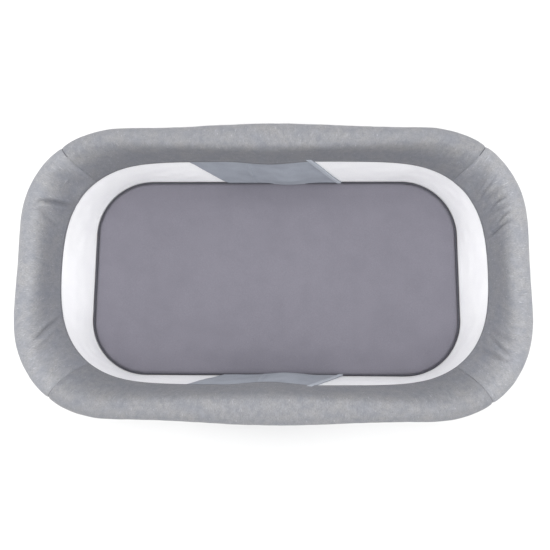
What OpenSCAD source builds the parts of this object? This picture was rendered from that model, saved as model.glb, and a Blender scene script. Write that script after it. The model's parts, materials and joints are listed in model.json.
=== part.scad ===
// Padded changing tub: a soft-walled tub on a steel rim frame and a base board,
// with a flat foam pad that lifts out.
// +X runs along the tub, +Y to the back, +Z up; the origin is under the middle, on the floor.

/* [Tub] */
// Length over the padded rim
overall_length = 880; // [730:1:1060]
// Width over the padded rim
overall_width = 510; // [420:1:620]
// Height from the floor to the top of the rim
overall_height = 220; // [180:1:270]
// Corner radius of the rim's outer edge, in plan
corner_radius = 196; // [160:1:225]

/* [Rim] */
// Diameter of the padded roll
roll_diameter = 44; // [40:1:54]
// Thickness of the rim's cover
cover_thickness = 2; // [1:0.5:2.5]
// Thickness of the skirt inside the rim
skirt_thickness = 5; // [3:0.5:6]
// How far the skirt's hem hangs below the top of the rim
skirt_drop = 81; // [66:1:98]
// Angle from the end to the seams at the back corners
back_seam_angle = 52; // [35:1:63]
// Angle from the end to the seams at the front corners
front_seam_angle = 46; // [35:1:60]

/* [Wall] */
// How far the end walls lean in from hem to floor
end_lean = 32.5; // [20:0.5:40]
// How far the long walls lean in from hem to floor
side_lean = 15.5; // [8:0.5:20]
// Corner radius of the wall's inner face at the floor
floor_corner_radius = 112; // [92:1:136]
// Thickness of the mesh
mesh_thickness = 2; // [1:0.5:3]
// Height of the lower band's top edge above the floor
band_top = 50; // [42:1:60]
// Thickness of the lower band
band_thickness = 2; // [1.5:0.5:3]

/* [Side panels] */
// Left edge of a side panel at the skirt's hem
panel_top_left = -157; // [-180:1:-120]
// Right edge of a side panel at the skirt's hem
panel_top_right = 72; // [60:1:90]
// Left edge of a side panel at the lower band
panel_bottom_left = -90; // [-110:1:-72]
// Right edge of a side panel at the lower band
panel_bottom_right = 136; // [110:1:165]
// How far a panel stands proud of the mesh, on the inside
panel_proud = 1.5; // [0.5:0.5:2.5]
// Thickness of a panel
panel_thickness = 4; // [3:0.5:5]

/* [Frame] */
// Outside diameter of the rim tube
rim_tube_diameter = 19; // [16:0.5:22]
// Wall of the steel tubes
tube_wall = 1.2; // [0.8:0.1:1.5]
// Gap between the two rim hoops, inside a coupling
hoop_gap = 6; // [2:1:12]
// Length of a rim coupling
coupling_length = 140; // [125:1:170]
// Outside diameter of a rim coupling
coupling_diameter = 30; // [26:0.5:36]
// Diameter of the rivets
rivet_diameter = 4; // [3:0.5:5]
// Outside diameter of the uprights
upright_diameter = 13; // [11:0.1:15.6]
// Distance between the two uprights of one side
upright_spacing = 90; // [76:1:108]
// Diameter of the sockets that take the uprights
socket_diameter = 20; // [17:0.5:22]

/* [Base] */
// Thickness of the base board
board_thickness = 9; // [8:0.5:12]
// Height of the rubber feet
foot_height = 12; // [10:0.5:16]
// Diameter of the rubber feet
foot_diameter = 36; // [30:1:44]
// Distance from the tub's middle to the feet, along the tub
foot_x = 260; // [215:1:290]
// Distance from the tub's middle to the feet, across the tub
foot_y = 140; // [110:1:155]
// Thickness of the floor fabric
floor_thickness = 1.2; // [0.8:0.1:2]
// Length of a base bracket
bracket_length = 140; // [120:1:170]
// Thickness of a base bracket's flange
flange_thickness = 5; // [4:0.5:6]

/* [Pad] */
// Thickness of the pad over its covers
pad_thickness = 25.5; // [21:0.5:31]
// Gap between the pad and the wall
pad_gap = 3.5; // [2:0.5:6]
// Thickness of the pad's covers
pad_cover_thickness = 1.5; // [1:0.5:2]
// Diameter of the piping
piping_diameter = 4; // [3:0.5:5]
// Length of the zip in the pad's underside
zip_length = 220; // [185:1:265]
// Distance from the pad's middle to the zip
zip_x = 300; // [270:1:310]

/* [Clearances] */
// Gap between pieces that move past each other
running_gap = 0.3; // [0.3:0.05:0.6]
// Gap around a tube in a plastic socket
socket_gap = 0.15; // [0.1:0.05:0.3]

/* [Hidden] */
$fn = 72;

// Colours
heather = [0.62, 0.63, 0.65];
white_mesh = [0.94, 0.94, 0.95];
blue_grey = [0.56, 0.59, 0.64];
pad_grey = [0.53, 0.52, 0.57];
dark_grey = [0.27, 0.27, 0.30];
steel_grey = [0.35, 0.36, 0.38];
zinc = [0.72, 0.73, 0.75];
black_rubber = [0.12, 0.12, 0.13];
foam_white = [0.90, 0.89, 0.84];
board_brown = [0.66, 0.55, 0.42];

// Rim: the roll's centre line is a rounded rectangle
roll_radius = roll_diameter / 2;
rim_half_length = overall_length / 2 - roll_radius;
rim_half_width = overall_width / 2 - roll_radius;
rim_corner = corner_radius - roll_radius;
rim_z = overall_height - roll_radius;
foam_radius = roll_radius - cover_thickness;
rim_tube_radius = rim_tube_diameter / 2;
coupling_radius = coupling_diameter / 2;
socket_radius = socket_diameter / 2;
foam_gap = 0.3;

// Wall: its inner face at the hem and at the floor
hem_z = overall_height - skirt_drop;
skirt_tuck = 8;
skirt_top = rim_z - skirt_tuck;
hem_half_length = rim_half_length - roll_radius;
hem_half_width = rim_half_width - roll_radius;
hem_corner = rim_corner - roll_radius;
floor_half_length = hem_half_length - end_lean;
floor_half_width = hem_half_width - side_lean;
corner_steps = 12;

// Base
board_z = foot_height;
floor_z = board_z + board_thickness;
floor_top = floor_z + floor_thickness;
band_outer_y = floor_half_width + band_thickness;
screw_radius = 2;
screw_depth = 7;
foot_screw_head = 4.5;
foot_recess_radius = 5.5;
foot_recess_depth = 5;
bracket_screw_x = 50;
bracket_screw_inset = 33;
bracket_head_radius = 3.5;
bracket_head_height = 2.5;
flange_reach = 46;

// Uprights lean out from the base brackets to the rim couplings
upright_radius = upright_diameter / 2;
bracket_wall = 4;
bracket_gap = 0.5;
upright_foot_y = band_outer_y + bracket_gap + bracket_wall + upright_radius + socket_gap;
upright_foot_height = 10;
upright_foot_z = board_z + upright_foot_height;
upright_angle = atan((rim_half_width - upright_foot_y) / (rim_z - upright_foot_z));
upright_top_gap = 2;
upright_length = (rim_z - upright_foot_z) / cos(upright_angle) - rim_tube_radius - upright_top_gap;
socket_below_roll = 6;
socket_length = roll_radius + socket_below_roll;
upright_lean_room = 2;
bracket_outer_y = upright_foot_y + upright_radius + socket_gap + bracket_wall + upright_lean_room;
bracket_below_panel = 2;
bracket_top = band_top - bracket_below_panel;
bracket_inner_y = floor_half_width - flange_reach;

// Pad, from its hook tabs up
tab_thickness = 1;
tab_length = 40;
tab_width = 25;
tab_x = 215;
tab_y = 110;
hook_z = floor_top + tab_thickness + running_gap;
pad_z = hook_z + tab_thickness;
pad_top = pad_z + pad_thickness;
piping_radius = piping_diameter / 2;
pad_half_length = floor_half_length - pad_gap;
pad_half_width = floor_half_width - pad_gap;
pad_corner = floor_corner_radius - pad_gap;
pad_core_inset = piping_diameter;

// Zip, in a slot of the pad's base cover
slot_half_width = 5;
tape_half_width = 13;
tape_thickness = 0.6;
coil_gap = 0.6;
coil_width = 1.6;
coil_depth = 0.9;
slider_bridge = 0.6;
slider_half_width = 3.6;
slider_length = 9;
slider_plate = 1;
tape_z = pad_z + pad_cover_thickness;
stop_length = 4;
zip_groove = tape_thickness + running_gap + slider_plate + running_gap;

// ---------- shared shapes ----------

// A rounded rectangle in plan, from its half sizes and corner radius
module plan(half_length, half_width, corner) {
    square([2 * half_length, 2 * (half_width - corner)], center = true);
    square([2 * (half_length - corner), 2 * half_width], center = true);
    for (sx = [-1, 1], sy = [-1, 1])
        translate([sx * (half_length - corner), sy * (half_width - corner)])
            circle(r = corner);
}

module slab(half_length, half_width, corner, z, thickness) {
    translate([0, 0, z])
        linear_extrude(thickness)
            plan(half_length, half_width, corner);
}

// The children are a section drawn with x pointing out from a centre line and y up.
// corner_run sweeps it around the corner on side sx, sy, between two angles from +X.
module corner_run(half_length, half_width, corner, sx, sy, from, to) {
    translate([sx * (half_length - corner), sy * (half_width - corner), 0])
        rotate_extrude(angle = to - from, start = from)
            translate([corner, 0])
                children();
}

// side_run sweeps it along a long side, sy = 1 for the back, from x0 to x1
module side_run(half_width, sy, x0, x1) {
    translate([x0, sy * half_width, 0])
        rotate([90, 0, 90])
            linear_extrude(x1 - x0)
                mirror([sy < 0 ? 1 : 0, 0])
                    children();
}

// end_run sweeps it along the whole straight part of an end, sx = 1 for the right
module end_run(half_length, sx, y1) {
    translate([sx * half_length, y1, 0])
        rotate([90, 0, 0])
            linear_extrude(2 * y1)
                mirror([sx < 0 ? 1 : 0, 0])
                    children();
}

// An end of the tub, sx = 1 for the right, with back and front corners swept through the
// given angles, and arms along the long sides to x = arm_x when the corners are whole
module end_sweep(half_length, half_width, corner, sx, back_angle, front_angle, arm_x = undef) {
    end_run(half_length, sx, half_width - corner)
        children();
    if (sx > 0) {
        corner_run(half_length, half_width, corner, 1, 1, 0, back_angle)
            children();
        corner_run(half_length, half_width, corner, 1, -1, -front_angle, 0)
            children();
    } else {
        corner_run(half_length, half_width, corner, -1, 1, 180 - back_angle, 180)
            children();
        corner_run(half_length, half_width, corner, -1, -1, 180, 180 + front_angle)
            children();
    }
    if (arm_x != undef)
        for (sy = [-1, 1])
            side_run(half_width, sy, min(sx * arm_x, sx * (half_length - corner)),
                     max(sx * arm_x, sx * (half_length - corner)))
                children();
}

// A closed ring around the whole tub
module ring_sweep(half_length, half_width, corner) {
    for (sx = [-1, 1])
        end_sweep(half_length, half_width, corner, sx, 90, 90, 0)
            children();
}

module tube_section(radius) {
    difference() {
        circle(r = radius);
        circle(r = radius - tube_wall);
    }
}

// ---------- rim frame ----------

// A rivet's place along the coupling, one pair in each hoop's end
rivet_places = [-60, -22, 22, 60];

module rivet_holes(radius) {
    for (sy = [-1, 1], x = rivet_places)
        translate([x, sy * rim_half_width, rim_z])
            rotate([90, 0, 0])
                cylinder(r = radius, h = coupling_diameter + 2, center = true);
}

module rim_hoop(sx) {
    color(steel_grey)
        difference() {
            translate([0, 0, rim_z])
                end_sweep(rim_half_length, rim_half_width, rim_corner, sx, 90, 90, hoop_gap / 2)
                    tube_section(rim_tube_radius);
            rivet_holes(rivet_diameter / 2);
        }
}

// Everything that stands on the uprights' axes, sy = 1 for the back
module on_upright(sx, sy, distance) {
    translate([sx * upright_spacing / 2, sy * upright_foot_y, upright_foot_z])
        rotate([-sy * upright_angle, 0, 0])
            translate([0, 0, distance])
                children();
}

socket_start = upright_length + upright_top_gap + rim_tube_radius - socket_length;

module coupling_body(sy, extra) {
    translate([0, sy * rim_half_width, rim_z])
        rotate([0, 90, 0])
            cylinder(r = coupling_radius + extra, h = coupling_length + 2 * extra, center = true);
    for (sx = [-1, 1])
        on_upright(sx, sy, socket_start - extra)
            cylinder(r = socket_radius + extra, h = socket_length + extra);
}

module rim_coupling(sy) {
    color(dark_grey)
        difference() {
            coupling_body(sy, 0);
            translate([0, sy * rim_half_width, rim_z])
                rotate([0, 90, 0])
                    cylinder(r = rim_tube_radius + socket_gap, h = coupling_length + 2, center = true);
            for (sx = [-1, 1])
                on_upright(sx, sy, socket_start - 1)
                    cylinder(r = upright_radius + socket_gap, h = socket_length - rim_tube_radius);
            rivet_holes(rivet_diameter / 2);
        }
}

module rim_rivets() {
    color(zinc)
        for (sy = [-1, 1], x = rivet_places)
            translate([x, sy * rim_half_width, rim_z])
                rotate([90, 0, 0])
                    cylinder(d = rivet_diameter, h = coupling_diameter - 1, center = true);
}

module upright(sx, sy) {
    color(steel_grey)
        on_upright(sx, sy, 0)
            linear_extrude(upright_length)
                tube_section(upright_radius);
}

// ---------- base ----------

// A flange under the board and a plate beside it, in one angle piece
module bracket_section() {
    plate_inner_y = band_outer_y + bracket_gap;
    polygon([
        [bracket_inner_y, board_z - flange_thickness],
        [plate_inner_y + bracket_wall, board_z - flange_thickness],
        [plate_inner_y + bracket_wall, bracket_top],
        [plate_inner_y, bracket_top],
        [plate_inner_y, board_z],
        [bracket_inner_y, board_z]
    ]);
}

// The two round sockets that the uprights stand in, cut level at both ends
module bracket_sockets(sy) {
    plate_middle = (band_outer_y + bracket_gap + bracket_outer_y) / 2;
    intersection() {
        union()
            for (sx = [-1, 1])
                on_upright(sx, sy, -2 * upright_foot_height)
                    cylinder(r = upright_radius + socket_gap + bracket_wall,
                             h = 2 * upright_foot_height + 2 * bracket_top);
        translate([0, sy * plate_middle, (board_z - flange_thickness + bracket_top) / 2])
            cube([2 * bracket_length, bracket_outer_y - band_outer_y - bracket_gap,
                  bracket_top - board_z + flange_thickness], center = true);
    }
}

module bracket_screw_places() {
    for (sx = [-1, 1], sy = [-1, 1])
        translate([sx * bracket_screw_x, sy * (floor_half_width - bracket_screw_inset), 0])
            children();
}

module base_bracket(sy) {
    color(dark_grey)
        difference() {
            union() {
                translate([-bracket_length / 2, 0, 0])
                    rotate([90, 0, 90])
                        linear_extrude(bracket_length)
                            mirror([sy < 0 ? 1 : 0, 0])
                                bracket_section();
                bracket_sockets(sy);
            }
            for (sx = [-1, 1])
                on_upright(sx, sy, 0)
                    cylinder(r = upright_radius + socket_gap, h = bracket_top);
            bracket_screw_places()
                cylinder(r = screw_radius, h = board_z + screw_depth);
        }
}

module bracket_screws() {
    flange_bottom = board_z - flange_thickness;
    color(zinc)
        bracket_screw_places() {
            translate([0, 0, flange_bottom - bracket_head_height])
                cylinder(r = bracket_head_radius, h = bracket_head_height);
            translate([0, 0, flange_bottom])
                cylinder(r = screw_radius, h = flange_thickness + screw_depth);
        }
}

module foot_places() {
    for (sx = [-1, 1], sy = [-1, 1])
        translate([sx * foot_x, sy * foot_y, 0])
            children();
}

module base_board() {
    color(board_brown)
        difference() {
            slab(floor_half_length, floor_half_width, floor_corner_radius, board_z, board_thickness);
            foot_places()
                cylinder(r = screw_radius, h = board_z + screw_depth);
            bracket_screw_places()
                cylinder(r = screw_radius, h = board_z + screw_depth);
        }
}

module foot(sx, sy) {
    color(black_rubber)
        translate([sx * foot_x, sy * foot_y, 0])
            difference() {
                cylinder(d = foot_diameter, h = foot_height);
                cylinder(r = screw_radius, h = foot_height + 1);
                translate([0, 0, -1])
                    cylinder(r = foot_recess_radius, h = foot_recess_depth + 1);
            }
}

module foot_screws() {
    head_height = 3;
    color(zinc)
        foot_places() {
            translate([0, 0, foot_recess_depth - head_height])
                cylinder(r = foot_screw_head, h = head_height);
            translate([0, 0, foot_recess_depth])
                cylinder(r = screw_radius, h = board_z - foot_recess_depth + screw_depth);
        }
}

module floor_fabric() {
    color(dark_grey)
        slab(floor_half_length, floor_half_width, floor_corner_radius, floor_z, floor_thickness);
}

// ---------- rim padding and covers ----------

module foam_section() {
    difference() {
        circle(r = foam_radius);
        circle(r = rim_tube_radius);
    }
}

module rim_foam_end(sx) {
    color(foam_white)
        translate([0, 0, rim_z])
            end_sweep(rim_half_length, rim_half_width, rim_corner, sx, 90, 90)
                foam_section();
}

module rim_foam_side(sy) {
    side_end = rim_half_length - rim_corner;
    color(foam_white)
        difference() {
            translate([0, 0, rim_z])
                side_run(rim_half_width, sy, -side_end, side_end)
                    foam_section();
            coupling_body(sy, foam_gap);
        }
}

// The cover is a tube of fabric around the roll; the skirt hangs from the roll's inner side
module cover_section() {
    difference() {
        circle(r = roll_radius);
        circle(r = foam_radius);
    }
}

module skirt_section() {
    difference() {
        translate([-roll_radius, hem_z - rim_z])
            square([skirt_thickness, skirt_top - hem_z]);
        circle(r = roll_radius);
    }
}

module end_panel(sx) {
    translate([0, 0, rim_z])
        end_sweep(rim_half_length, rim_half_width, rim_corner, sx,
                  back_seam_angle, front_seam_angle)
            children();
}

module side_panel_run(sy) {
    side_end = rim_half_length - rim_corner;
    seam = sy > 0 ? back_seam_angle : front_seam_angle;
    translate([0, 0, rim_z]) {
        side_run(rim_half_width, sy, -side_end, side_end)
            children();
        corner_run(rim_half_length, rim_half_width, rim_corner, 1, sy,
                   sy > 0 ? seam : -90, sy > 0 ? 90 : -seam)
            children();
        corner_run(rim_half_length, rim_half_width, rim_corner, -1, sy,
                   sy > 0 ? 90 : 180 + seam, sy > 0 ? 180 - seam : 270)
            children();
    }
}

module rim_cover_end(sx) {
    color(heather)
        end_panel(sx)
            cover_section();
}

module rim_cover_side(sy) {
    color(heather)
        difference() {
            side_panel_run(sy)
                cover_section();
            coupling_body(sy, foam_gap);
        }
}

module rim_skirt_end(sx) {
    color(heather)
        end_panel(sx)
            skirt_section();
}

module rim_skirt_side(sy) {
    color(heather)
        side_panel_run(sy)
            skirt_section();
}

// ---------- wall ----------

// Points of one edge of an end wall, from the front long side around the end to the back.
// grow moves the edge outward; x_end is where it stops on the long sides.
function wall_edge(half_length, half_width, corner, grow, x_end, z) = concat(
    [[x_end, -(half_width + grow), z]],
    [for (i = [0 : corner_steps]) let (a = -90 + 90 * i / corner_steps)
        [half_length - corner + (corner + grow) * cos(a),
         -(half_width - corner) + (corner + grow) * sin(a), z]],
    [for (i = [0 : corner_steps]) let (a = 90 * i / corner_steps)
        [half_length - corner + (corner + grow) * cos(a),
         half_width - corner + (corner + grow) * sin(a), z]],
    [[x_end, half_width + grow, z]]
);

// A wall of even thickness between four edges with the same number of points
module wall_between(low_inner, low_outer, top_inner, top_outer) {
    n = len(low_inner);
    last = n - 1;
    polyhedron(
        points = concat(low_inner, low_outer, top_inner, top_outer),
        faces = concat(
            [for (i = [0 : last - 1]) each [
                [i, i + 1, 2 * n + i], [i + 1, 2 * n + i + 1, 2 * n + i],
                [n + i, 3 * n + i, n + i + 1], [n + i + 1, 3 * n + i, 3 * n + i + 1],
                [i, n + i, i + 1], [i + 1, n + i, n + i + 1],
                [2 * n + i, 2 * n + i + 1, 3 * n + i],
                [2 * n + i + 1, 3 * n + i + 1, 3 * n + i]]],
            [[0, 2 * n, n], [2 * n, 3 * n, n],
             [last, n + last, 2 * n + last], [2 * n + last, n + last, 3 * n + last]])
    );
}

// sx = 1 for the right end; the left one is turned around, so its ends swap sides
module mesh_wall(sx) {
    top_x = sx > 0 ? panel_top_right : -panel_top_left;
    low_x = sx > 0 ? panel_bottom_right : -panel_bottom_left;
    color(white_mesh)
        mirror([sx < 0 ? 1 : 0, 0, 0])
            wall_between(
                wall_edge(floor_half_length, floor_half_width, floor_corner_radius,
                          0, low_x, band_top),
                wall_edge(floor_half_length, floor_half_width, floor_corner_radius,
                          mesh_thickness, low_x, band_top),
                wall_edge(hem_half_length, hem_half_width, hem_corner, 0, top_x, hem_z),
                wall_edge(hem_half_length, hem_half_width, hem_corner,
                          mesh_thickness, top_x, hem_z));
}

module side_panel(sy) {
    inner = -panel_proud;
    outer = panel_thickness - panel_proud;
    color(blue_grey)
        mirror([0, sy < 0 ? 1 : 0, 0])
            wall_between(
                [for (x = [panel_bottom_right, panel_bottom_left])
                    [x, floor_half_width + inner, band_top]],
                [for (x = [panel_bottom_right, panel_bottom_left])
                    [x, floor_half_width + outer, band_top]],
                [for (x = [panel_top_right, panel_top_left]) [x, hem_half_width + inner, hem_z]],
                [for (x = [panel_top_right, panel_top_left]) [x, hem_half_width + outer, hem_z]]);
}

module lower_band(sx) {
    color(blue_grey)
        end_sweep(floor_half_length, floor_half_width, floor_corner_radius, sx, 90, 90, 0)
            translate([0, board_z])
                square([band_thickness, band_top - board_z]);
}

// ---------- pad ----------

module tab_places() {
    for (sx = [-1, 1], sy = [-1, 1])
        translate([sx * tab_x, sy * tab_y, 0])
            children();
}

module tab() {
    translate([-tab_length / 2, -tab_width / 2, 0])
        cube([tab_length, tab_width, tab_thickness]);
}

module floor_loop_tabs() {
    color(dark_grey)
        tab_places()
            translate([0, 0, floor_top])
                tab();
}

module pad_hook_tabs() {
    color(dark_grey)
        tab_places()
            translate([0, 0, hook_z])
                tab();
}

module pad_core(z, thickness) {
    slab(pad_half_length - pad_core_inset, pad_half_width - pad_core_inset,
         pad_corner - pad_core_inset, z, thickness);
}

// A box along the zip, from half_width either side of it
module zip_box(half_width, length, z, thickness) {
    translate([zip_x - half_width, -length / 2, z])
        cube([2 * half_width, length, thickness]);
}

module pad_foam() {
    foam_z = pad_z + pad_cover_thickness;
    color(foam_white)
        difference() {
            pad_core(foam_z, pad_thickness - 2 * pad_cover_thickness);
            zip_box(tape_half_width + 1, zip_length + 4, foam_z - 1, zip_groove + 1);
        }
}

module pad_cover_top() {
    color(pad_grey)
        pad_core(pad_top - pad_cover_thickness, pad_cover_thickness);
}

module pad_cover_base() {
    color(pad_grey)
        difference() {
            pad_core(pad_z, pad_cover_thickness);
            zip_box(slot_half_width, zip_length, pad_z - 1, pad_cover_thickness + 2);
        }
}

module pad_side_band() {
    low = pad_z + piping_diameter;
    color(pad_grey)
        ring_sweep(pad_half_length, pad_half_width, pad_corner)
            translate([-pad_core_inset, low])
                square([piping_radius, pad_top - piping_diameter - low]);
}

module pad_piping(z) {
    color(dark_grey)
        translate([0, 0, z])
            ring_sweep(pad_half_length, pad_half_width, pad_corner)
                translate([-piping_radius, 0])
                    circle(r = piping_radius);
}

// Two tapes, each with its row of coils along the edge that faces the other
module pad_zip_tapes() {
    color(dark_grey)
        for (sx = [-1, 1]) {
            translate([zip_x + (sx > 0 ? coil_gap : -tape_half_width), -zip_length / 2, tape_z])
                cube([tape_half_width - coil_gap, zip_length, tape_thickness]);
            translate([zip_x + (sx > 0 ? coil_gap : -coil_gap - coil_width),
                       -zip_length / 2, tape_z - coil_depth])
                cube([coil_width, zip_length, coil_depth]);
        }
}

module pad_zip_stops() {
    color(zinc)
        for (sy = [-1, 1])
            translate([zip_x, sy * (zip_length - stop_length) / 2, 0])
                translate([-coil_gap, -stop_length / 2, tape_z - coil_depth])
                    cube([2 * coil_gap, stop_length, coil_depth + tape_thickness]);
}

// The slider has a plate on each side of the tapes and a bridge between the two coils
slider_y = -(zip_length / 2 - stop_length - slider_length / 2 - running_gap);

module zip_slider() {
    low_z = tape_z - coil_depth - running_gap - slider_plate;
    top_z = tape_z + tape_thickness + running_gap;
    color(zinc)
        translate([zip_x, slider_y, 0]) {
            translate([-slider_half_width, -slider_length / 2, low_z])
                cube([2 * slider_half_width, slider_length, slider_plate]);
            translate([-slider_half_width, -slider_length / 2, top_z])
                cube([2 * slider_half_width, slider_length, slider_plate]);
            translate([-slider_bridge / 2, -slider_length / 2, low_z])
                cube([slider_bridge, slider_length, top_z - low_z + slider_plate]);
        }
}

// ---------- the nodes ----------

rim_hoop(-1);  // rim_hoop_left
rim_hoop(1);  // rim_hoop_right
rim_coupling(-1);  // rim_coupling_front
rim_coupling(1);  // rim_coupling_back
rim_rivets();
upright(-1, -1);  // upright_front_left
upright(1, -1);  // upright_front_right
upright(-1, 1);  // upright_back_left
upright(1, 1);  // upright_back_right
base_bracket(-1);  // base_bracket_front
base_bracket(1);  // base_bracket_back
bracket_screws();
base_board();
foot(-1, -1);  // foot_front_left
foot(1, -1);  // foot_front_right
foot(-1, 1);  // foot_back_left
foot(1, 1);  // foot_back_right
foot_screws();
floor_fabric();
floor_loop_tabs();
rim_foam_end(-1);  // rim_foam_left
rim_foam_end(1);  // rim_foam_right
rim_foam_side(-1);  // rim_foam_front
rim_foam_side(1);  // rim_foam_back
rim_cover_end(-1);  // rim_cover_left
rim_cover_end(1);  // rim_cover_right
rim_cover_side(-1);  // rim_cover_front
rim_cover_side(1);  // rim_cover_back
rim_skirt_end(-1);  // rim_skirt_left
rim_skirt_end(1);  // rim_skirt_right
rim_skirt_side(-1);  // rim_skirt_front
rim_skirt_side(1);  // rim_skirt_back
mesh_wall(-1);  // mesh_wall_left
mesh_wall(1);  // mesh_wall_right
side_panel(-1);  // side_panel_front
side_panel(1);  // side_panel_back
lower_band(-1);  // lower_band_left
lower_band(1);  // lower_band_right
pad_foam();
pad_cover_top();
pad_side_band();
pad_cover_base();
pad_piping(pad_top - piping_radius);  // pad_piping_top
pad_piping(pad_z + piping_radius);  // pad_piping_bottom
pad_zip_tapes();
pad_zip_stops();
pad_hook_tabs();
zip_slider();
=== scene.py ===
"""Looks of the changing pad and its padded tub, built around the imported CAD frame. Metres throughout."""
import json
import math

import bmesh
import bpy
import numpy as np
from mathutils import Matrix, Vector, noise


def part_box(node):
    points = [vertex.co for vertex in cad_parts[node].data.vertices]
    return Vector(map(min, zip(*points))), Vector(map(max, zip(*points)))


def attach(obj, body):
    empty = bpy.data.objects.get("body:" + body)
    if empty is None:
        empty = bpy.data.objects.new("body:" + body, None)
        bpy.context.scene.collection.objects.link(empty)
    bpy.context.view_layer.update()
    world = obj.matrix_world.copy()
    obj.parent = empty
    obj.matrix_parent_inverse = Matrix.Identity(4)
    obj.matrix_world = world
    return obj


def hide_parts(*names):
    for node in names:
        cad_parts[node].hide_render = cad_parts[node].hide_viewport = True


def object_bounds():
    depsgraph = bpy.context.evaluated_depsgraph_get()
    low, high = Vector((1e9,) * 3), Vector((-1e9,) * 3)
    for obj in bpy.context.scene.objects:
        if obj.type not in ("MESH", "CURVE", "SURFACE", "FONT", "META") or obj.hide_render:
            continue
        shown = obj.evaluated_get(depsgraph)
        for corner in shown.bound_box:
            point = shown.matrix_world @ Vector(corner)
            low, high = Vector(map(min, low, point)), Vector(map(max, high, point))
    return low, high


MM = 0.001

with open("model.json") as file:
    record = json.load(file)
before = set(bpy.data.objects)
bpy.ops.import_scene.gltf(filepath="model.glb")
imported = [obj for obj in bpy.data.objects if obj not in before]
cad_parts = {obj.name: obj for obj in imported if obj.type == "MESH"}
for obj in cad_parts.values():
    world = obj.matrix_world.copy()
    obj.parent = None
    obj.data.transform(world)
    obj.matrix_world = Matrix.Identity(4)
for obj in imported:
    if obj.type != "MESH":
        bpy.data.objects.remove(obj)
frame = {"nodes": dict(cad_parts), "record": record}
cad_low, cad_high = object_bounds()
nodes = frame["nodes"]
scene = bpy.context.scene

# ---------- places taken from the frame ----------

wall_half_length, wall_half_width, floor_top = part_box("floor_fabric")[1]
band_foot, band_top = (corner.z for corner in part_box("lower_band_left"))
hem_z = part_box("rim_skirt_left")[0].z
roll_low, roll_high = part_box("rim_cover_left")
rim_z = (roll_low.z + roll_high.z) / 2
pad_half_length, pad_half_width, pad_top_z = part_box("pad_piping_top")[1]
pad_base_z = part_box("pad_cover_base")[0].z
HOOP_RADIUS = 9.5 * MM
hoop_low, hoop_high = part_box("rim_hoop_left")
frame_half_length, frame_half_width = -hoop_low.x - HOOP_RADIUS, hoop_high.y - HOOP_RADIUS

# ---------- camera ----------

LENS, SHIFT = 34.9, (-0.0164, -0.0491)
CAMERA_PLACE = Vector((0.042, -0.082, 1.106))
CAMERA_TILT = math.radians(7.5)
CAMERA_TURN = math.radians(-1.36)
CAMERA_ROLL = math.radians(0.24)


def make_camera():
    data = bpy.data.cameras.new("camera")
    data.sensor_width = 36
    data.lens = LENS
    data.shift_x, data.shift_y = SHIFT
    data.clip_start, data.clip_end = 0.01, 50
    camera = bpy.data.objects.new("camera", data)
    scene.collection.objects.link(camera)
    across = Vector((math.cos(CAMERA_TURN), 0, math.sin(CAMERA_TURN)))
    down = Vector((math.sin(CAMERA_TURN), 0, -math.cos(CAMERA_TURN)))
    back = Vector((0, 1, 0))
    ahead = math.cos(CAMERA_TILT) * down + math.sin(CAMERA_TILT) * back
    above = math.cos(CAMERA_TILT) * back - math.sin(CAMERA_TILT) * down
    right = math.cos(CAMERA_ROLL) * across + math.sin(CAMERA_ROLL) * above
    upward = math.cos(CAMERA_ROLL) * above - math.sin(CAMERA_ROLL) * across
    turn = Matrix((right, upward, -ahead)).transposed().to_4x4()
    camera.matrix_world = Matrix.Translation(CAMERA_PLACE) @ turn
    scene.camera = camera


make_camera()

# ---------- materials ----------


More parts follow.
